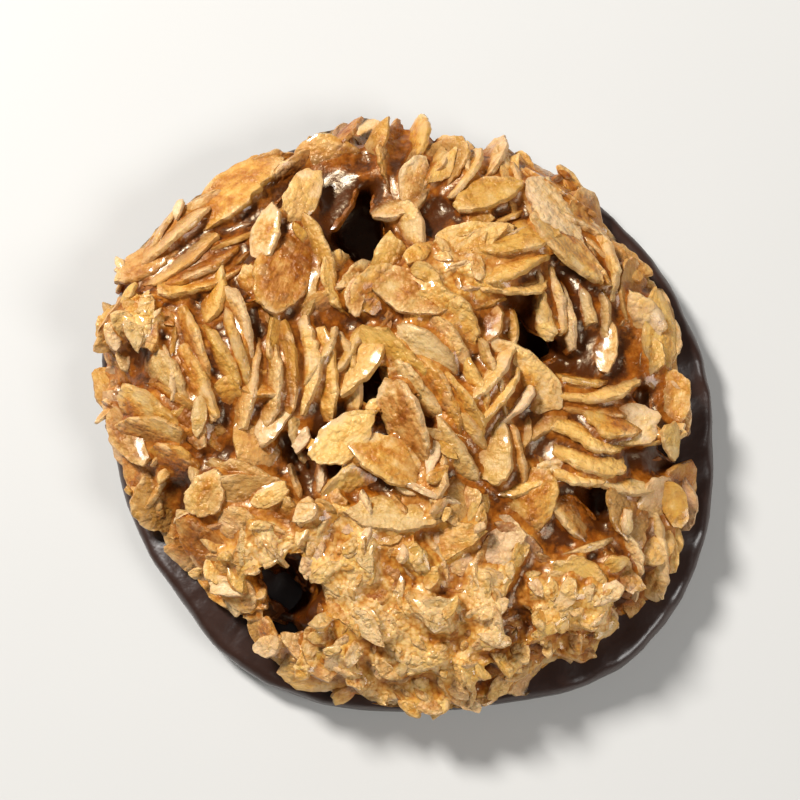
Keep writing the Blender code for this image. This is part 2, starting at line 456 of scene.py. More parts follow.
def rough(piece, size, strength, name, group=""):
    """Cloudy relief on a piece's surface, or on one vertex group of it."""
    texture = bpy.data.textures.new(name, "CLOUDS")
    texture.noise_scale = size
    texture.noise_depth = 2
    relief = piece.modifiers.new(name, "DISPLACE")
    relief.texture = texture
    relief.texture_coords = "LOCAL"
    relief.strength = strength
    relief.mid_level = 0.5
    relief.vertex_group = group


def melted(piece, cell, name):
    """Melts what overlaps in a piece into one skin, worked out in cells of a size."""
    melt = piece.modifiers.new(name, "REMESH")
    melt.mode = "VOXEL"
    melt.voxel_size = cell


def settle(piece):
    """Applies the piece's modifiers."""
    graph = bpy.context.evaluated_depsgraph_get()
    mesh = bpy.data.meshes.new_from_object(piece.evaluated_get(graph))
    old = piece.data
    piece.modifiers.clear()
    piece.data = mesh
    bpy.data.meshes.remove(old)


# The surface that the flakes lie on


class AlmondSurface:
    """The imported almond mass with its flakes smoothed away.

    A place on it is a tilt from the crown, 0, to the rim, a quarter turn, and a heading round the rim.
    """

    def __init__(self, node):
        low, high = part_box(node.name)
        self.middle = np.array([(low.x + high.x) / 2, (low.y + high.y) / 2, low.z + SURFACE_FOOT])
        radius = (high.x - low.x + high.y - low.y) / 4
        self.radii = np.array([radius, radius, high.z - self.middle[2]])
        self.reach = self.measured(node) * self.drawn_in()

    def measured(self, node):
        """How far out the mass reaches, as a share of the radii, over a grid of tilts and headings."""
        tree = tree_of([node])
        middle = Vector(self.middle)
        reach = np.ones((SURFACE_ROWS + 1, SURFACE_COLUMNS))
        for row in range(SURFACE_ROWS + 1):
            for column in range(SURFACE_COLUMNS):
                tilt = row / SURFACE_ROWS * math.pi / 2
                heading = column / SURFACE_COLUMNS * 2 * math.pi
                ray = Vector(self.toward(tilt, heading) * self.radii)
                hit = tree.ray_cast(middle + ray * 1.5, -ray)[0]
                reach[row, column] = (hit - middle).length / ray.length
        reach[0] = reach[0].mean()
        for _ in range(SURFACE_SMOOTHING):
            rows = np.pad(reach, ((1, 1), (0, 0)), "edge")
            reach = blurred((rows[:-2] + 2 * rows[1:-1] + rows[2:]) / 4, axis=1)
        return reach

    def drawn_in(self):
        """What share of its reach the mass keeps: less low down, where the lip shows widest."""
        heading, spread, inward = BARE_LIP
        headings = np.arange(SURFACE_COLUMNS) / SURFACE_COLUMNS * 360
        near = np.exp(-(((headings - heading) / spread) ** 2))
        low = np.sin(np.arange(SURFACE_ROWS + 1) / SURFACE_ROWS * math.pi / 2) ** 4
        return 1 - inward / self.radii[0] * low[:, None] * near

    @staticmethod
    def toward(tilt, heading):
        across, up = np.sin(tilt), np.cos(tilt)
        return np.stack([across * np.cos(heading), across * np.sin(heading), up + 0 * heading], axis=-1)

    def reach_at(self, tilt, heading):
        """How far out the surface lies at a place, as a share of the radii."""
        row = np.clip(tilt / (math.pi / 2) * SURFACE_ROWS, 0, SURFACE_ROWS - 1e-6)
        column = np.mod(heading / (2 * math.pi), 1) * SURFACE_COLUMNS
        upper = np.floor(row).astype(int)
        left = np.floor(column).astype(int) % SURFACE_COLUMNS
        right = (left + 1) % SURFACE_COLUMNS
        down, along = row - upper, column - np.floor(column)
        above = self.reach[upper, left] * (1 - along) + self.reach[upper, right] * along
        below = self.reach[upper + 1, left] * (1 - along) + self.reach[upper + 1, right] * along
        return above * (1 - down) + below * down

    def at(self, tilt, heading):
        return self.middle + self.toward(tilt, heading) * self.radii * self.reach_at(tilt, heading)[..., None]

    def normal(self, tilt, heading):
        return unit(self.toward(tilt, heading) / self.radii)

    def over(self, x, y):
        """The tilt and heading of the place over a point of the plan, closed in on from a first guess."""
        across = math.hypot(x - self.middle[0], y - self.middle[1])
        heading = math.atan2(y - self.middle[1], x - self.middle[0])
        tilt = 0.5
        for _ in range(12):
            share = across / (self.radii[0] * float(self.reach_at(np.float64(tilt), np.float64(heading))))
            tilt = math.asin(min(share, 1))
        return tilt, heading

    def depth(self, points):
        """How far under the surface points lie, along the line to the middle."""
        from_middle = points - self.middle
        scaled = from_middle / self.radii
        size = np.maximum(np.linalg.norm(scaled, axis=-1), 1e-6)
        tilt = np.arctan2(np.hypot(scaled[..., 0], scaled[..., 1]), scaled[..., 2])
        heading = np.arctan2(scaled[..., 1], scaled[..., 0])
        return (self.reach_at(tilt, heading) / size - 1) * np.linalg.norm(from_middle, axis=-1)

    def spread(self, count, dice, lowest_tilt=math.pi / 2):
        """Places spread evenly over the surface, on a spiral with a little scatter."""
        tilts = np.linspace(0, lowest_tilt, 200)
        ring = np.sin(tilts) * np.hypot(self.radii[0] * np.cos(tilts), self.radii[2] * np.sin(tilts))
        area = np.concatenate([[0], np.cumsum((ring[1:] + ring[:-1]) / 2)])
        shares = (np.arange(count) + dice.uniform(0.2, 0.8, count)) / count
        headings = np.arange(count) * math.pi * (3 - math.sqrt(5)) + dice.uniform(-0.2, 0.2, count)
        return zip(np.interp(shares * area[-1], area, tilts), headings)

    def sunk(self, points):
        """How deep points lie, from 0 at the surface or out of it to 1 well under it."""
        return np.clip(self.depth(points) / DEPTH_SPAN, 0, 1)


# Flakes


@dataclass
class Flake:
    """One slice of almond. Its axes run along it, across it and out of its broad face.

    Its point says how it tapers to tip and butt, a break is a heading and the share of its half width that is
    kept there, and ragged says where its waves begin.
    """

    centre: np.ndarray
    axes: np.ndarray
    length: float
    width: float
    thickness: float
    toast: float
    curl: float
    cup: float
    twist: float
    point: tuple
    breaks: tuple
    ragged: tuple

    def reach(self):
        """The places of its middle and its four ends."""
        along = self.axes[0] * self.length / 2
        across = self.axes[1] * self.width / 2
        bend = self.axes[2] * self.curl * self.length / 4
        return self.centre + np.array([0 * along, along - bend, -along - bend, across, -across])


def crowded(count):
    """So many places from -1 to 1, closer together toward both ends."""
    return np.sin(np.linspace(-EDGE_CROWDING, EDGE_CROWDING, count)) / math.sin(EDGE_CROWDING)


def disc_grid(columns, rows):
    """A square grid drawn into a round disc, and its faces: two sheets joined by a band round the edge."""
    u, v = np.meshgrid(crowded(columns), crowded(rows), indexing="ij")
    disc = np.stack([u * np.sqrt(1 - v * v / 2), v * np.sqrt(1 - u * u / 2)], axis=-1).reshape(-1, 2)
    number = np.arange(columns * rows).reshape(columns, rows)
    corners = [number[:-1, :-1], number[1:, :-1], number[1:, 1:], number[:-1, 1:]]
    quads = np.stack(corners, axis=-1).reshape(-1, 4)
    edge = np.concatenate([number[:-1, 0], number[-1, :-1], number[:0:-1, -1], number[0, :0:-1]])
    after = np.roll(edge, -1)
    sheet = columns * rows
    rim = 2 * sheet + np.arange(len(edge))
    rim_after = np.roll(rim, -1)
    bands = [
        np.stack([edge, rim, rim_after, after], axis=-1),
        np.stack([rim, edge + sheet, after + sheet, rim_after], axis=-1),
    ]
    faces = np.concatenate([quads, quads[:, ::-1] + sheet, *bands])
    return disc, edge, faces


def outline(flake, disc):
    """The flat places of a flake's disc: an almond's outline, a little ragged, with its broken sides cut."""
    size = np.linalg.norm(disc, axis=-1, keepdims=True)
    rim = disc / np.maximum(size, 1e-9)
    turn = np.arctan2(rim[:, 1], rim[:, 0])
    wobble = 1 + 0.05 * np.sin(3 * turn + flake.ragged[0]) + 0.03 * np.sin(8 * turn + flake.ragged[1])
    wobble += 0.02 * np.sin(17 * turn + flake.ragged[0])
    tip, butt = flake.point
    taper = (1.001 - rim[:, 0]) ** tip * (1.001 + rim[:, 0]) ** butt
    flat = np.stack([rim[:, 0], rim[:, 1] * taper], axis=-1) * wobble[:, None]
    flat *= (flake.length / 2, flake.width / 2)
    for heading, share in flake.breaks:
        way = np.array([math.cos(heading), math.sin(heading)])
        limit = share * math.hypot(way[0] * flake.length / 2, way[1] * flake.width / 2)
        jag = 1 + 0.07 * np.sin(flat @ (-way[1], way[0]) / (0.35 * MM) + flake.ragged[1])
        flat *= np.minimum(1, limit * jag / np.maximum(flat @ way, 1e-9))[:, None]
    return flat * size


def flake_shape(flake, disc, edge):
    """A flake's points in place, how near each lies to its cut edge, and its place on the flake."""
    flat = outline(flake, disc)
    size = np.linalg.norm(disc, axis=-1)
    swell = flake.thickness / 2 * (1 - 0.22 * size**8)
    bulge = 0.14 * flake.thickness / np.maximum(np.linalg.norm(flat[edge], axis=-1), 1e-9)
    side = flat[edge] * (1 + bulge)[:, None]
    flat = np.concatenate([flat, flat, side])
    lift = np.concatenate([swell, -swell, 0 * bulge])
    near_edge = np.concatenate([size**5, size**5, 1 + 0 * bulge])
    x, y = flat.T
    z = lift - flake.curl * x * x / flake.length - flake.cup * y * y / flake.width
    own_place = np.stack([x / STREAK_STRETCH, y, z], axis=-1) + np.append(flake.ragged, 0)
    turn = flake.twist * x / flake.length
    y, z = y * np.cos(turn) - z * np.sin(turn), y * np.sin(turn) + z * np.cos(turn)
    return flake.centre + np.stack([x, y, z], axis=-1) @ flake.axes, near_edge, own_place


def axes_about(out, run, lean, pitch):
    """The axes of a flake that runs one way, leans over from facing outward and noses up."""
    along = np.array([math.cos(run), math.sin(run), -0.02])
    along = unit(along - out * (along @ out))
    across = np.cross(out, along)
    face = out * math.cos(lean) + across * math.sin(lean)
    across = across * math.cos(lean) - out * math.sin(lean)
    level, rise = math.cos(pitch), math.sin(pitch)
    return np.array([along * level + face * rise, across, face * level - along * rise])


def laid(surface, tilt, heading, run, lean, width, proud, pitch):
    """The middle and axes of a flake laid on the surface, with its upper edge so far proud of it."""
    out = unit(surface.normal(tilt, heading) + (0, 0, SETTLING))
    lift = proud - abs(math.sin(lean)) * width / 2
    return surface.at(tilt, heading) + out * lift, axes_about(out, run, lean, pitch)


def make_flake(dice, centre, axes, length, width, toast, thickness=None, breaks=(0, 3), keep=(0.55, 0.9)):
    """A flake with some sides broken off, each of which keeps a share of its half width."""
    return Flake(
        centre=centre,
        axes=axes,
        length=length,
        width=width,
        thickness=thickness or dice.uniform(*SLICED) * MM,
        toast=float(np.clip(toast, 0, 1)),
        curl=dice.uniform(-0.10, 0.34),
        cup=dice.uniform(-0.1, 0.2),
        twist=dice.uniform(-0.35, 0.35),
        point=(dice.uniform(0.12, 0.4), dice.uniform(0, 0.15))[:: dice.choice([-1, 1])],
        breaks=tuple(
            (dice.uniform(0, 2 * math.pi), dice.uniform(*keep)) for _ in range(dice.integers(*breaks))
        ),
        ragged=tuple(dice.uniform(0, 2 * math.pi, 2)),
    )


def tucked(flake, surface, most_proud=MOST_PROUD):
    """The flake, moved in where one of its ends would stick too far out of the surface."""
    ends = flake.reach()
    out = unit((flake.centre - surface.middle) / surface.radii**2)
    outward = np.hypot(*(flake.centre - surface.middle)[:2]) / surface.radii[0]
    proud = max(-surface.depth(ends).min() - most_proud * (1 - RIM_TUCK * min(outward, 1) ** 4), 0)
    flake.centre = flake.centre - out * proud
    return flake


def bold_flakes(surface, dice):
    for x, y, run, length, width, lean, toast in BOLD_FLAKES:
        tilt, heading = surface.over(x * MM, y * MM)
        run, lean, width = math.radians(run), math.radians(lean), width * MM
        place = laid(surface, tilt, heading, run, lean, width, BOLD_PROUD, dice.uniform(-0.08, 0.08))
        flake = make_flake(dice, *place, length * MM, width, toast, breaks=(0, 2), keep=(0.75, 0.95))
        yield tucked(flake, surface)


def sheaf_flakes(surface, dice):
    for x, y, run, count, gap, length, lean, fan, toast in SHEAVES:
        for step in range(count):
            off = step - (count - 1) / 2
            turn = math.radians(run + fan * off / count + dice.normal(0, 6))
            side = math.radians(run + 90)
            slide = dice.normal(0, 1.3)
            tilt, heading = surface.over(
                (x + off * gap * math.cos(side) + slide * math.cos(turn)) * MM,
                (y + off * gap * math.sin(side) + slide * math.sin(turn)) * MM,
            )
            width = dice.uniform(3.8, 5.8) * MM
            leaning = math.radians(lean + dice.normal(0, 9))
            proud = dice.uniform(0.3, 1.7) * MM
            place = laid(surface, tilt, heading, turn, leaning, width, proud, dice.uniform(-0.12, 0.12))
            size = length * dice.uniform(0.75, 1.1) * MM
            yield tucked(make_flake(dice, *place, size, width, toast + dice.normal(0, 0.2)), surface)


def flow(point):
    """Which way the flakes run about a point: much as the nearest sheaf does."""
    away = [math.hypot(point[0] / MM - x, point[1] / MM - y) for x, y, *_ in SHEAVES]
    nearest = SHEAVES[int(np.argmin(away))]
    return math.radians(nearest[2]) + SWIRL_TURN * noise.noise(Vector(point) / SWIRL_SIZE)


def hollow_gap(place):
    """How far a place lies outside the nearest hollow, whose edge wanders in and out."""
    hollows = np.array(HOLLOWS) * MM
    gaps = np.linalg.norm(hollows[:, :2] - place[:2], axis=-1) - hollows[:, 2] - HOLLOW_MARGIN
    return gaps.min() + HOLLOW_WANDER * noise.noise(Vector((*place[:2], 0)) / HOLLOW_WAVE)


@dataclass
class Layer:
    """How flakes are scattered. Leans are in degrees, lengths in millimetres, the rest in metres or shares.

    Room is kept from the middles of claimed flakes, and keep_out from the hollows.
    """

    count: int
    depth: float
    leans: tuple
    lengths: tuple
    slender: tuple
    breaks: tuple = (0, 3)
    thin: float = 1.0
    most_proud: float = MOST_PROUD
    room: float = 0.0
    keep_out: float = 0.0


UPPER = Layer(220, 0.5 * MM, (8, 44), lengths=(7.5, 12), slender=(0.38, 0.55), room=2.6 * MM)
MIDDLE = Layer(
    170, 1.6 * MM, (5, 50), lengths=(7.5, 11.5), slender=(0.5, 0.7), most_proud=0.9 * MM, keep_out=0.2 * MM
)
LOWER = Layer(
    150, 3.2 * MM, (0, 30), lengths=(8, 12), slender=(0.55, 0.75), most_proud=0.3 * MM, keep_out=0.4 * MM
)
SLIVERS = Layer(
    420, 0.4 * MM, (0, 60), lengths=(4.5, 9), slender=(0.3, 0.5), breaks=(1, 4), thin=0.8, room=1.5 * MM
)


def scattered_flakes(surface, dice, layer, claimed=(), chance=None):
    """A layer of flakes, clear of the hollows and of what is claimed, each of which is kept with a chance."""
    claimed = np.array([flake.centre[:2] for flake in claimed]).reshape(-1, 2)
    for tilt, heading in surface.spread(layer.count, dice):
        length = dice.uniform(*layer.lengths) * MM
        width = length * dice.uniform(*layer.slender)
        lean = math.radians(dice.uniform(*layer.leans)) * dice.choice([-1, 1], p=[0.3, 0.7])
        run = flow(surface.at(tilt, heading)) + dice.normal(0, 0.4)
        proud = -layer.depth + dice.uniform(-0.4, 0.9) * MM
        place = laid(surface, tilt, heading, run, lean, width, proud, dice.normal(0, 0.16))
        toast = dice.normal(0.42, 0.22) + 0.25 * (tilt / 1.5) ** 3
        thickness = layer.thin * dice.uniform(*SLICED) * MM
        flake = make_flake(dice, *place, length, width, toast, thickness, layer.breaks)
        flake = tucked(flake, surface, layer.most_proud)
        if chance and dice.random() > chance(flake.centre):
            continue
        if len(claimed) and np.linalg.norm(claimed - flake.centre[:2], axis=-1).min() < layer.room:
            continue
        if min(hollow_gap(end) for end in flake.reach()) > layer.keep_out:
            yield flake


def crumbliness(points):
    """How crumbly the mix is about each point, from 0 to 1."""
    zones = np.array(CRUMBLY) * MM
    far = np.linalg.norm(points[..., None, :2] - zones[:, :2], axis=-1) / zones[:, 2]
    return np.exp(-(far**2)).max(axis=-1)


def sliver_chance(point):
    return 0.25 + 0.6 * float(crumbliness(point))


def nib_chance(point):
    return 0.012 + 0.44 * float(crumbliness(point))


def nib_places(surface, almonds, dice):
    """Places on top of the laid almonds, and the way out of them, but none on the first piece of almonds."""
    first_faces = len(almonds[0].data.polygons)
    ground = tree_of(almonds)
    for tilt, heading in surface.spread(NIB_TRIES, dice, NIB_LOWEST):
        out = Vector(surface.normal(tilt, heading) + dice.normal(0, 0.15, 3)).normalized()
        start = Vector(surface.at(tilt, heading)) + out * NIB_START
        place, normal, face, _ = ground.ray_cast(start, -out, NIB_FALL)
        if place is None or face < first_faces or dice.random() > nib_chance(np.array(place)):
            continue
        yield np.array(place), np.array(normal)


def nib_flakes(places, dice):
    """Small broken bits of almond, lying more or less flat on what is under them."""
    for place, normal in places:
        length = dice.uniform(1.8, 4.8) * MM
        width = length * dice.uniform(0.32, 0.58)
        out = unit(normal + (0, 0, 1.2))
        axes = axes_about(out, dice.uniform(0, 2 * math.pi), dice.normal(0, 0.35), dice.normal(0, 0.25))
        centre = place + out * dice.uniform(0.1, 0.5) * MM
        toast = dice.normal(0.35, 0.22)
        thickness = dice.uniform(0.4, 0.65) * MM
        yield make_flake(dice, centre, axes, length, width, toast, thickness, breaks=(1, 4), keep=(0.5, 0.9))


# Almonds and caramel


def joined_flakes(name, flakes, surface, grid, coated=1.0):
    """One piece of many flakes, each on a grid of points, and coated in crumbs where the mix is crumbly."""
    disc, edge, faces = disc_grid(*grid)
    points, rims, own_places, toasts, all_faces = [], [], [], [], []
    count = 0
    for flake in flakes:
        shape, near_edge, own_place = flake_shape(flake, disc, edge)
        points.append(shape)
        rims.append(near_edge)
        own_places.append(own_place)
        toasts.append(np.full(len(shape), flake.toast))
        all_faces.append(faces + count)
        count += len(shape)
    points = np.concatenate(points)
    return new_piece(
        name,
        points,
        np.concatenate(all_faces).tolist(),
        cut_edge=np.concatenate(rims),
        own_place=np.concatenate(own_places),
        toast=np.concatenate(toasts),
        depth=surface.sunk(points),
        crumbly=coated * crumbliness(points),
    )


def seat(piece, rim):
    """Lifts what would come out under the chocolate."""
    points = points_of(piece)
    points[:, 2] = np.maximum(points[:, 2], rim.bed(points))
    move_points(piece, points)


def finish_flakes(piece, rim, size=1.5 * MM, strength=0.32 * MM):
    """Gives flakes their relief, seats them in the chocolate and keeps their cut edges crisp."""
    rough(piece, size, strength, piece.name + "_relief")
    settle(piece)
    seat(piece, rim)
    piece.data.set_sharp_from_angle(angle=math.radians(CRISP_ANGLE))


def lay_almonds(surface, rim, dice):
    """The almonds as finished pieces: those that stand out, then what lies between and on top of them."""
    bold = list(bold_flakes(surface, dice))
    standing = bold + list(sheaf_flakes(surface, dice))
    upper = list(scattered_flakes(surface, dice, UPPER, standing))
    middle = list(scattered_flakes(surface, dice, MIDDLE))
    lower = list(scattered_flakes(surface, dice, LOWER))
    slivers = list(scattered_flakes(surface, dice, SLIVERS, bold, sliver_chance))
    almonds = [
        joined_flakes("almond_flakes", standing, surface, grid=(22, 12), coated=0.6),
        joined_flakes("almond_flakes_loose", upper, surface, grid=(20, 11)),
        joined_flakes("almond_flakes_below", middle + lower, surface, grid=(12, 7)),
        joined_flakes("almond_slivers", slivers, surface, grid=(14, 5)),
    ]
    for piece in almonds:
        finish_flakes(piece, rim)
    places = list(nib_places(surface, almonds, dice))
    nibs = joined_flakes("almond_nibs", nib_flakes(places, dice), surface, grid=(8, 6))
    finish_flakes(nibs, rim, size=0.9 * MM, strength=0.22 * MM)
    return [*almonds, nibs]


def heart_shape(surface, rows=48, columns=192):
    """The caramel's heart: a smaller copy of the surface, closed below, with a pit under each hollow."""
    floor = surface.middle[2] - PIT_FLOOR
    points = []
    for row in range(rows + 1):
        for column in range(columns):
            top = surface.at(row / rows * math.pi / 2, column / columns * 2 * math.pi)
            across = top - surface.middle
            uneven = 1 + 0.5 * noise.noise(Vector(top) / (4 * MM))
            point = surface.middle + across * (1 - HEART_DEPTH / np.linalg.norm(across) * uneven)
            point[2] += (floor - point[2]) * smooth(1 - hollow_gap(point) / PIT_SIDE)
            points.append(point)
    points.append(np.array([*surface.middle[:2], floor - 1 * MM]))
    faces = ring_faces(rows + 1, columns, falling=True)
    faces += fan_faces(rows, columns, len(points) - 1, below=True)
    return new_piece("caramel", np.array(points), faces)


def draw_back(caramel, surface):
    """Draws the swollen caramel back again, furthest near the top, where the flakes stand out of it."""
    points = points_of(caramel)
    crumbly = crumbliness(points)
    firm = (1 - np.clip(surface.depth(points) / TOP_DEPTH, 0, 1)) * (1 - crumbly)
    back = CARAMEL_SPREAD - CARAMEL_COAT + FIRM_BACK * firm + CRUMBLY_BACK * crumbly
    move_points(caramel, points - points_of(caramel, "normal") * back[:, None])


def make_caramel(surface, almonds):
    """Caramel in the narrow gaps: the almonds melted together, swollen until they meet, and drawn back."""
    copies = [in_scene(piece.name + "_melting", piece.data.copy()) for piece in almonds]
    caramel = heart_shape(surface)
    with bpy.context.temp_override(
        active_object=caramel,
        object=caramel,
        selected_objects=copies,
        selected_editable_objects=[caramel, *copies],
    ):
        bpy.ops.object.join()
    melted(caramel, CARAMEL_CELL, "melt")
    swell = caramel.modifiers.new("swell", "DISPLACE")
    swell.strength = CARAMEL_SPREAD
    swell.mid_level = 0
    melted(caramel, CARAMEL_CELL, "merge")
    soften = caramel.modifiers.new("soften", "SMOOTH")
    soften.factor = 0.5
    soften.iterations = 4
    settle(caramel)
    draw_back(caramel, surface)
    crumbly = crumbliness(points_of(caramel))
    zone = caramel.vertex_groups.new(name="froth_zone")
    for index in np.flatnonzero(crumbly > 0.02):
        zone.add([int(index)], crumbly[index], "REPLACE")
    rough(caramel, size=1.2 * MM, strength=0.2 * MM, name="caramel_relief")
    rough(caramel, size=2.0 * MM, strength=0.65 * MM, name="caramel_lumps", group=zone.name)
    settle(caramel)
    mark(caramel.data, "crumbly", crumbly)
    mark(caramel.data, "depth", surface.sunk(points_of(caramel)))
    caramel.data.shade_smooth()
    return caramel


def mark_nooks(pieces, surface):
    """Keeps at each point how far it lies below what is round it: 0 on a peak and 1 in a deep nook. The
    finishes paint shade into the nooks by it.
    """
    tree = tree_of(pieces)
    steps = np.arange(-NOOK_REACH, NOOK_REACH + 1) * NOOK_CELL
    hits = [tree.ray_cast(Vector((x, y, OVERHEAD)), DOWN)[0] for x in steps for y in steps]
    found = np.array([hit or (0, 0, 0) for hit in hits])
    proud = np.where([hit is not None for hit in hits], -surface.depth(found), 0)
    proud = np.clip(proud, -NOOK_SPAN, NOOK_SPAN).reshape(len(steps), len(steps))
    for _ in range(NOOK_BLUR):
        proud = blurred(blurred(proud, axis=0), axis=1)
    for piece in pieces:
        points = points_of(piece)
        cells = np.rint(points[:, :2] / NOOK_CELL).astype(int) + NOOK_REACH
        row, column = np.clip(cells, 0, len(steps) - 1).T
        nook = proud[row, column] + surface.depth(points)
        mark(piece.data, "nook", np.clip(0.5 + nook / NOOK_SPAN, 0, 1))


# The chocolate


class SaucerRim:
    """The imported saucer's rim: how far out it reaches and how high its lip stands, by heading."""

    def __init__(self, node):
        tree = tree_of([node])
        low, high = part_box(node.name)
        half_way = Vector((0, 0, (low.z + high.z) / 2))
        overhead = Vector((0, 0, OVERHEAD))
        self.headings = np.arange(RIM_STEPS) / RIM_STEPS * 2 * math.pi
        self.radii, self.heights = np.empty(RIM_STEPS), np.empty(RIM_STEPS)
        for step, heading in enumerate(self.headings):
            way = Vector((math.cos(heading), math.sin(heading), 0))
            side = tree.ray_cast(half_way + way * ASIDE, -way)[0]
            self.radii[step] = Vector(side[:2]).length
            above = way * (self.radii[step] - LIP_ROUND) + overhead
            self.heights[step] = tree.ray_cast(above, DOWN)[0].z
        wander, fine = self.waves(2.4, 0), self.waves(7, 5)
        self.radii += (0.7 * wander + 0.2 * fine) * MM
        self.heights += (0.6 * wander + 0.35 * fine) * MM

    def waves(self, pace, start):
        """Waves round the rim whose two ends meet: the higher their pace, the shorter they are."""
        ring = [(pace * math.cos(heading), pace * math.sin(heading), start) for heading in self.headings]
        return np.array([noise.noise(Vector(place)) for place in ring])

    def bed(self, points):
        """The lowest that almonds may lie at each point: sunk in the chocolate, but over its lip."""
        heading = np.arctan2(points[:, 1], points[:, 0])
        edge = np.interp(heading, self.headings, self.radii, period=2 * math.pi)
        lip = np.interp(heading, self.headings, self.heights, period=2 * math.pi)
        inside = edge - np.hypot(points[:, 0], points[:, 1])
        return SUNK + (lip + LIP_CLEAR - SUNK) * (1 - smooth((inside - LIP_REST) / LIP_SLOPE))


def saucer_rings(radii, heights):
    """How far out and how high each ring lies: out under the saucer, up its wall, over its lip and inward."""
    rings = [(share * radii, 0) for share in UNDERSIDE_RINGS]
    for turn in np.radians(np.linspace(-90, 0, FOOT_RINGS)):
        rings.append((radii - FOOT_ROUND + FOOT_ROUND * math.cos(turn), FOOT_ROUND * (1 + math.sin(turn))))
    wall = heights - LIP_ROUND
    for share in WALL_RINGS:
        rings.append((radii + 0.1 * MM * math.sin(share * math.pi), FOOT_ROUND + (wall - FOOT_ROUND) * share))
    for turn in np.radians(np.linspace(0, 95, LIP_RINGS)):
        rings.append((radii - LIP_ROUND + LIP_ROUND * math.cos(turn), wall + LIP_ROUND * math.sin(turn)))
    for inward in INWARD_RINGS:
        share = inward / INWARD_RINGS[-1]
        rings.append((radii - LIP_ROUND - inward * MM, heights * (1 - share) + CHOCOLATE_BED * share))
    return rings


def make_chocolate(rim):
    """The saucer: a soft, wandering lip, and inside it uneven chocolate that the almonds are set in."""
    rings = saucer_rings(rim.radii, rim.heights)
    level = len(UNDERSIDE_RINGS) + FOOT_RINGS
    way_x, way_y = np.cos(rim.headings), np.sin(rim.headings)
    points = []
    for number, (reach, height) in enumerate(rings):
        ring = np.stack([reach * way_x, reach * way_y, height + 0 * reach], axis=-1)
        if number >= level:
            for point in ring:
                place = Vector(point)
                lump = noise.noise(place / BROAD_LUMPS) + 0.4 * noise.noise(place / FINE_LUMPS)
                point[2] += LUMP_HEIGHT * lump * min((number - level + 1) / LUMP_RINGS, 1)
        points.append(ring)
    points = np.concatenate([*points, [[0, 0, 0], [0, 0, CHOCOLATE_BED]]])
    bottom, top = len(points) - 2, len(points) - 1
    faces = ring_faces(len(rings), RIM_STEPS)
    faces += fan_faces(0, RIM_STEPS, bottom, below=True)
    faces += fan_faces(len(rings) - 1, RIM_STEPS, top)
    return new_piece("chocolate_saucer", points, faces)


# Finishes

BLANCHED = (0.80, 0.61, 0.41)
SALLOW = (0.48, 0.33, 0.11)
CREAM = (0.74, 0.51, 0.26)
HONEY = (0.59, 0.325, 0.098)
GOLD = (0.43, 0.17, 0.03)
AMBER = (0.24, 0.066, 0.004)
CARAMEL_TINT = (1.0, 0.86, 0.40)
DARK_AMBER = (0.065, 0.015, 0.0015)
CHOCOLATE = (0.020, 0.0075, 0.005)
CHOCOLATE_SHEEN = (0.020, 0.0072, 0.0042)
CHOCOLATE_BLOOM = (0.044, 0.0175, 0.0105)
WALLS = (0.62, 0.615, 0.60)
FLOOR_SHADE = (0.58, 0.575, 0.56)
NO_GLOW = (0, 0, 0)

# The floor's painted glow grows between these distances from the middle.
FLOOR_GLOW = (0.15, 0.9)


def chocolate_climb(finish):
    """A mask of where the chocolate has crept up between the flakes."""
    height = finish.height(finish.place()) + finish.grain(3.5 * MM) * (1.6 * MM)
    return 1 - finish.step(height, 4.3 * MM, 4.9 * MM)


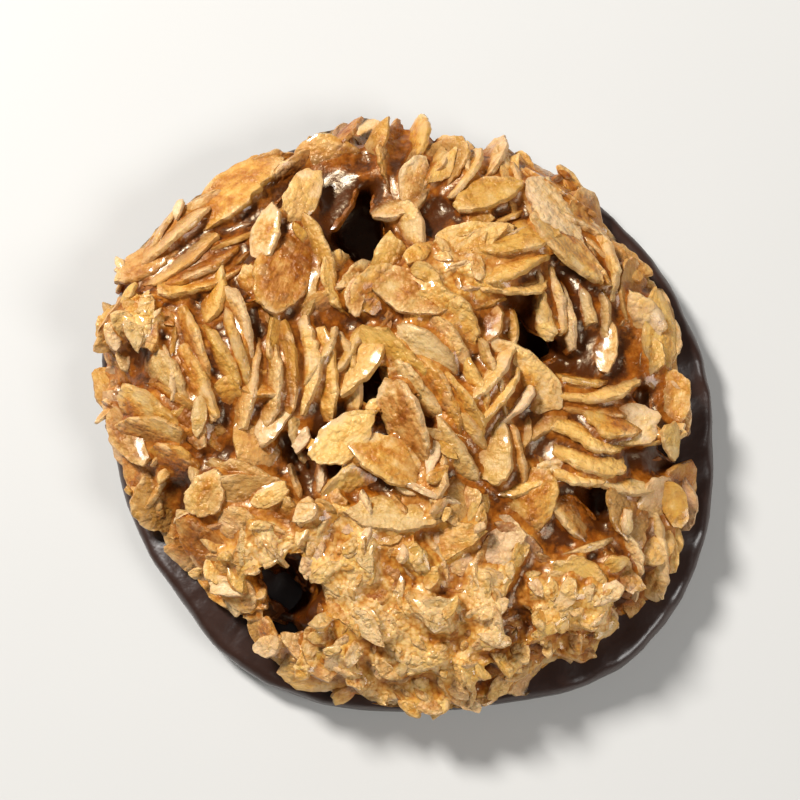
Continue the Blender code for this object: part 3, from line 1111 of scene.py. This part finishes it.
def almond_finish():
    """Toasted almond, streaked along each flake and pale where it was cut, under a broken glaze. Its nooks
    and deep parts carry painted shade, and its bumps and cut edges partly painted highlight.
    """
    finish = Finish(
        "toasted_almond",
        Subsurface_Weight=0.1,
        Subsurface_Radius=(1.0, 0.42, 0.14),
        Subsurface_Scale=0.8 * MM,
        Specular_Tint=(1.0, 0.88, 0.68),
        Coat_Roughness=0.13,
        Coat_Tint=(1.0, 0.92, 0.76),
        IOR=1.46,
    )
    own = finish.attribute("own_place", "Vector")
    streak = finish.grain(0.8 * MM, roughness=0.6, place=own)
    patch = finish.grain(2.6 * MM)
    skin = finish.grain(1.1 * MM, detail=4, roughness=0.6)
    nook = finish.attribute("nook")
    edge = finish.attribute("cut_edge")

    # Toast darkens in streaks and patches, and in the nooks as painted shade. Its specks follow the relief:
    # paler on the bumps as painted highlight, darker in their lows as painted shade. It is paler at the cut
    # edge, partly as painted highlight.
    toast = finish.attribute("toast") * 1.1 - 0.12
    toast = toast + (streak - 0.5) * 0.9 + (patch - 0.5) * 1.3 + (0.5 - skin) * 1.3
    toast = toast + (nook - 0.45) * 0.8 + (0.4 - edge) * 0.3
    colour = finish.ramp(toast, ((0.0, CREAM), (0.32, HONEY), (0.68, GOLD), (1.0, AMBER)))

    # Each flake has a hue of its own: some are blanched, some sallow, and some soaked in caramel.
    hue = finish.grain(17 * MM, detail=0, roughness=0.5, place=own) + (patch - 0.5) * 0.3
    colour = finish.mix(finish.step(hue, 0.55, 0.65) * 0.45, colour, BLANCHED)
    colour = finish.mix((1 - finish.step(hue, 0.36, 0.46)) * 0.4, colour, SALLOW)
    soaking = finish.grain(30 * MM, detail=0, roughness=0.5, place=own) + (patch - 0.5) * 0.7
    soaked = finish.step(soaking, 0.4, 0.6)
    colour = finish.mix(soaked * 0.85, colour, CARAMEL_TINT, "MULTIPLY")

    # Cut edges are pale here and there away from the nooks, partly as painted highlight, and amber elsewhere.
    pale = finish.step(patch + (streak - 0.5) * 0.4, 0.5, 0.62) * (1 - finish.step(nook, 0.45, 0.6))
    colour = finish.mix(edge * pale * 0.7, colour, CREAM)
    colour = finish.mix(edge * (1 - pale) * 0.34, colour, AMBER)

    # Froth of small crumbs, where the mix is crumbly. The middles of its bubbles, which the relief raises,
    # are painted pale as painted highlight, and the seams between them darker as painted shade.
    froth = finish.froth(0.6 * MM)
    frothy = finish.attribute("crumbly") * finish.step(skin + (patch - 0.5) * 0.5, 0.42, 0.56)
    grains = finish.ramp(froth + (skin - 0.5) * 0.9, ((0.2, GOLD), (0.6, HONEY), (1.0, CREAM)))
    colour = finish.mix(frothy * 0.6, colour, grains)

    # Painted shade: the flakes are painted dark amber deep down, where darker caramel also soaks them, and
    # amber in the crevices, where caramel also pools. Chocolate at the foot.
    sunk = finish.step(finish.attribute("depth") + patch * 0.3, 0.35, 1.05)
    colour = finish.mix(sunk * 0.85, colour, DARK_AMBER)
    crevice_caramel_and_shade = finish.step(nook + (skin - 0.5) * 0.3, 0.56, 0.86)
    colour = finish.mix(crevice_caramel_and_shade * 0.85, colour, AMBER)
    finish.set("Base Color", finish.mix(chocolate_climb(finish), colour, CHOCOLATE))

    glaze = finish.step(finish.grain(1.6 * MM), 0.4, 0.6)
    bubbles = froth * finish.step(patch, 0.4, 0.6)
    finish.set("Roughness", 0.56 - glaze * 0.2 - bubbles * 0.16 + streak * 0.06)
    finish.set("Coat Weight", glaze * 0.26 + soaked * 0.12 + edge * 0.2)
    finish.relief(skin * 0.8 + streak * 0.5 + bubbles * 0.5 + froth * frothy * 0.3, 0.4 * MM)
    return finish.material


def caramel_finish():
    """Boiled caramel: thick and dark in the nooks and deep down, where painted shade darkens it as well, and
    thin and frothy where it lies on the flakes, with its bumps painted paler as painted highlight.
    """
    finish = Finish(
        "amber_caramel",
        Subsurface_Weight=0.15,
        Subsurface_Radius=(1.0, 0.35, 0.08),
        Subsurface_Scale=1.0 * MM,
        Specular_Tint=(1.0, 0.82, 0.55),
        Coat_Roughness=0.07,
        Coat_Tint=(1.0, 0.88, 0.64),
        IOR=1.5,
    )
    patch = finish.grain(1.9 * MM, detail=4)
    fine = finish.grain(0.5 * MM, roughness=0.65)
    nook = finish.attribute("nook")
    bubbles = finish.froth(0.5 * MM)
    crumbly = finish.attribute("crumbly")
    # Darkness of the caramel: it lies thicker deep down, in the nooks and in the lows of its relief, and
    # there it also carries painted shade. The tops of its bumps and bubbles are painted pale as painted
    # highlight.
    thick_and_shaded = finish.attribute("depth") * 0.35 + (nook - 0.5) * 1.1 + (0.5 - patch) * 1.2 + (0.5 - fine) * 0.6
    thick_and_shaded = thick_and_shaded + 0.38 + (0.6 - bubbles) * crumbly * 0.5 - crumbly * 0.3
    colour = finish.ramp(thick_and_shaded, ((0.0, CREAM), (0.2, HONEY), (0.42, GOLD), (0.7, AMBER), (1.0, DARK_AMBER)))
    clear = finish.step(finish.grain(5 * MM, detail=2), 0.42, 0.6)
    colour = finish.mix(clear * 0.7, colour, CARAMEL_TINT, "MULTIPLY")
    finish.set("Base Color", finish.mix(chocolate_climb(finish), colour, CHOCOLATE))
    finish.set("Roughness", 0.2 + fine * 0.24)
    finish.set("Coat Weight", 0.6 - finish.step(nook, 0.48, 0.72) * 0.5)
    calm = 1 - finish.step(nook, 0.45, 0.65) * 0.8
    finish.relief(patch * 0.7 + (bubbles * (0.3 + crumbly * 0.3) + fine * 0.4) * calm, 0.32 * MM)
    return finish.material


def chocolate_finish():
    finish = Finish("dark_chocolate", Coat_Weight=0.25, Coat_Roughness=0.22, IOR=1.5)
    cloud = finish.grain(7 * MM)
    finish.set("Base Color", finish.mix(cloud, CHOCOLATE_SHEEN, CHOCOLATE_BLOOM))
    finish.set("Roughness", 0.26 + cloud * 0.2)
    waves = finish.grain(2.2 * MM) + finish.grain(0.5 * MM, detail=2) * 0.12
    finish.relief(waves, 0.25 * MM, strength=0.5)
    return finish.material


def floor_finish():
    """Pale and matt, with a painted glow far off that brightens it where it meets the pale walls."""
    finish = Finish("pale_floor", Roughness=0.8, Emission_Strength=1.0)
    away = finish.node("ShaderNodeVectorMath", {"operation": "LENGTH"}, {0: finish.place()}, output="Value")
    # Painted glow: far off, the floor emits the walls' colour, though it is no lamp.
    finish.set("Emission Color", finish.mix(finish.step(away, *FLOOR_GLOW), NO_GLOW, WALLS))
    finish.set("Base Color", finish.mix(finish.grain(60 * MM, detail=2), FLOOR_SHADE, WALLS))
    return finish.material


# The studio

# The camera's height over the table in degrees, its lens and sensor in millimetres, and the share of the
# view's width that the cookie takes up.
CAMERA_ELEVATION = 80
LENS = 85
SENSOR = 36
VIEW_SHARE = 0.80

# The floor reaches this far each way.
FLOOR_REACH = 1.5


def make_floor(material):
    form = bmesh.new()
    bmesh.ops.create_grid(form, x_segments=8, y_segments=8, size=FLOOR_REACH)
    mesh = bpy.data.meshes.new("floor")
    form.to_mesh(mesh)
    form.free()
    mesh.materials.append(material)
    floor = in_scene("floor", mesh)


def add_light(name, place, size, watts, colour):
    """A round soft light aimed at the cookie."""
    light = bpy.data.lights.new(name, "AREA")
    light.shape = "DISK"
    light.size = size
    light.energy = watts
    light.color = colour
    lamp = in_scene(name, light)
    lamp.location = place
    lamp.rotation_euler = (-Vector(place)).to_track_quat("-Z", "Y").to_euler()


def studio_walls():
    """Walls that are pale at the height of the floor and dim overhead, so that gloss keeps its depth."""
    world = bpy.data.worlds.new("studio")
    walls = Shading(world, "Background")
    height = walls.height(walls.place("Generated"))
    walls.set("Color", (1.0, 0.99, 0.97))
    walls.set("Strength", walls.step(height, 0.02, 0.3, before=0.7, after=0.1))
    return world


def light_studio():
    add_light("key", (-0.26, 0.24, 0.36), size=0.11, watts=3.6, colour=(1.0, 0.98, 0.95))
    add_light("fill", (0.35, -0.2, 0.4), size=0.24, watts=1.55, colour=(1.0, 0.99, 0.97))
    bpy.context.scene.world = studio_walls()
    bpy.context.scene.view_settings.view_transform = "Standard"


def aim_camera(bounds):
    """The view of the almond side, almost straight down."""
    low, high = bounds
    camera = in_scene("camera", bpy.data.cameras.new("camera"))
    camera.data.lens = LENS
    camera.data.sensor_width = SENSOR
    camera.data.clip_start = 10 * MM
    width = max(high.x - low.x, high.y - low.y) / VIEW_SHARE
    elevation = math.radians(CAMERA_ELEVATION)
    back = Vector((0, -math.cos(elevation), math.sin(elevation)))
    camera.location = (low + high) / 2 + back * (width * LENS / SENSOR)
    camera.rotation_euler = (-back).to_track_quat("-Z", "Y").to_euler()
    bpy.context.scene.camera = camera


def dress(piece, material, replaced):
    """Gives a piece its finish, and says which body it rides on and the node that it replaces."""
    piece.data.materials.clear()
    piece.data.materials.append(material)
    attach(piece, "root")
    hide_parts(replaced)


def main():
    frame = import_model()
    cad_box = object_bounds()
    aim_camera(cad_box)
    light_studio()
    make_floor(floor_finish())

    surface = AlmondSurface(frame["nodes"]["almond_mass"])
    rim = SaucerRim(frame["nodes"]["chocolate_base"])
    almonds = lay_almonds(surface, rim, np.random.default_rng(SEED))
    caramel = make_caramel(surface, almonds)
    seat(caramel, rim)
    mark_nooks([*almonds, caramel], surface)
    chocolate = make_chocolate(rim)

    almond = almond_finish()
    for piece in almonds:
        dress(piece, almond, "almond_mass")
    dress(caramel, caramel_finish(), "almond_mass")
    dress(chocolate, chocolate_finish(), "chocolate_base")


main()
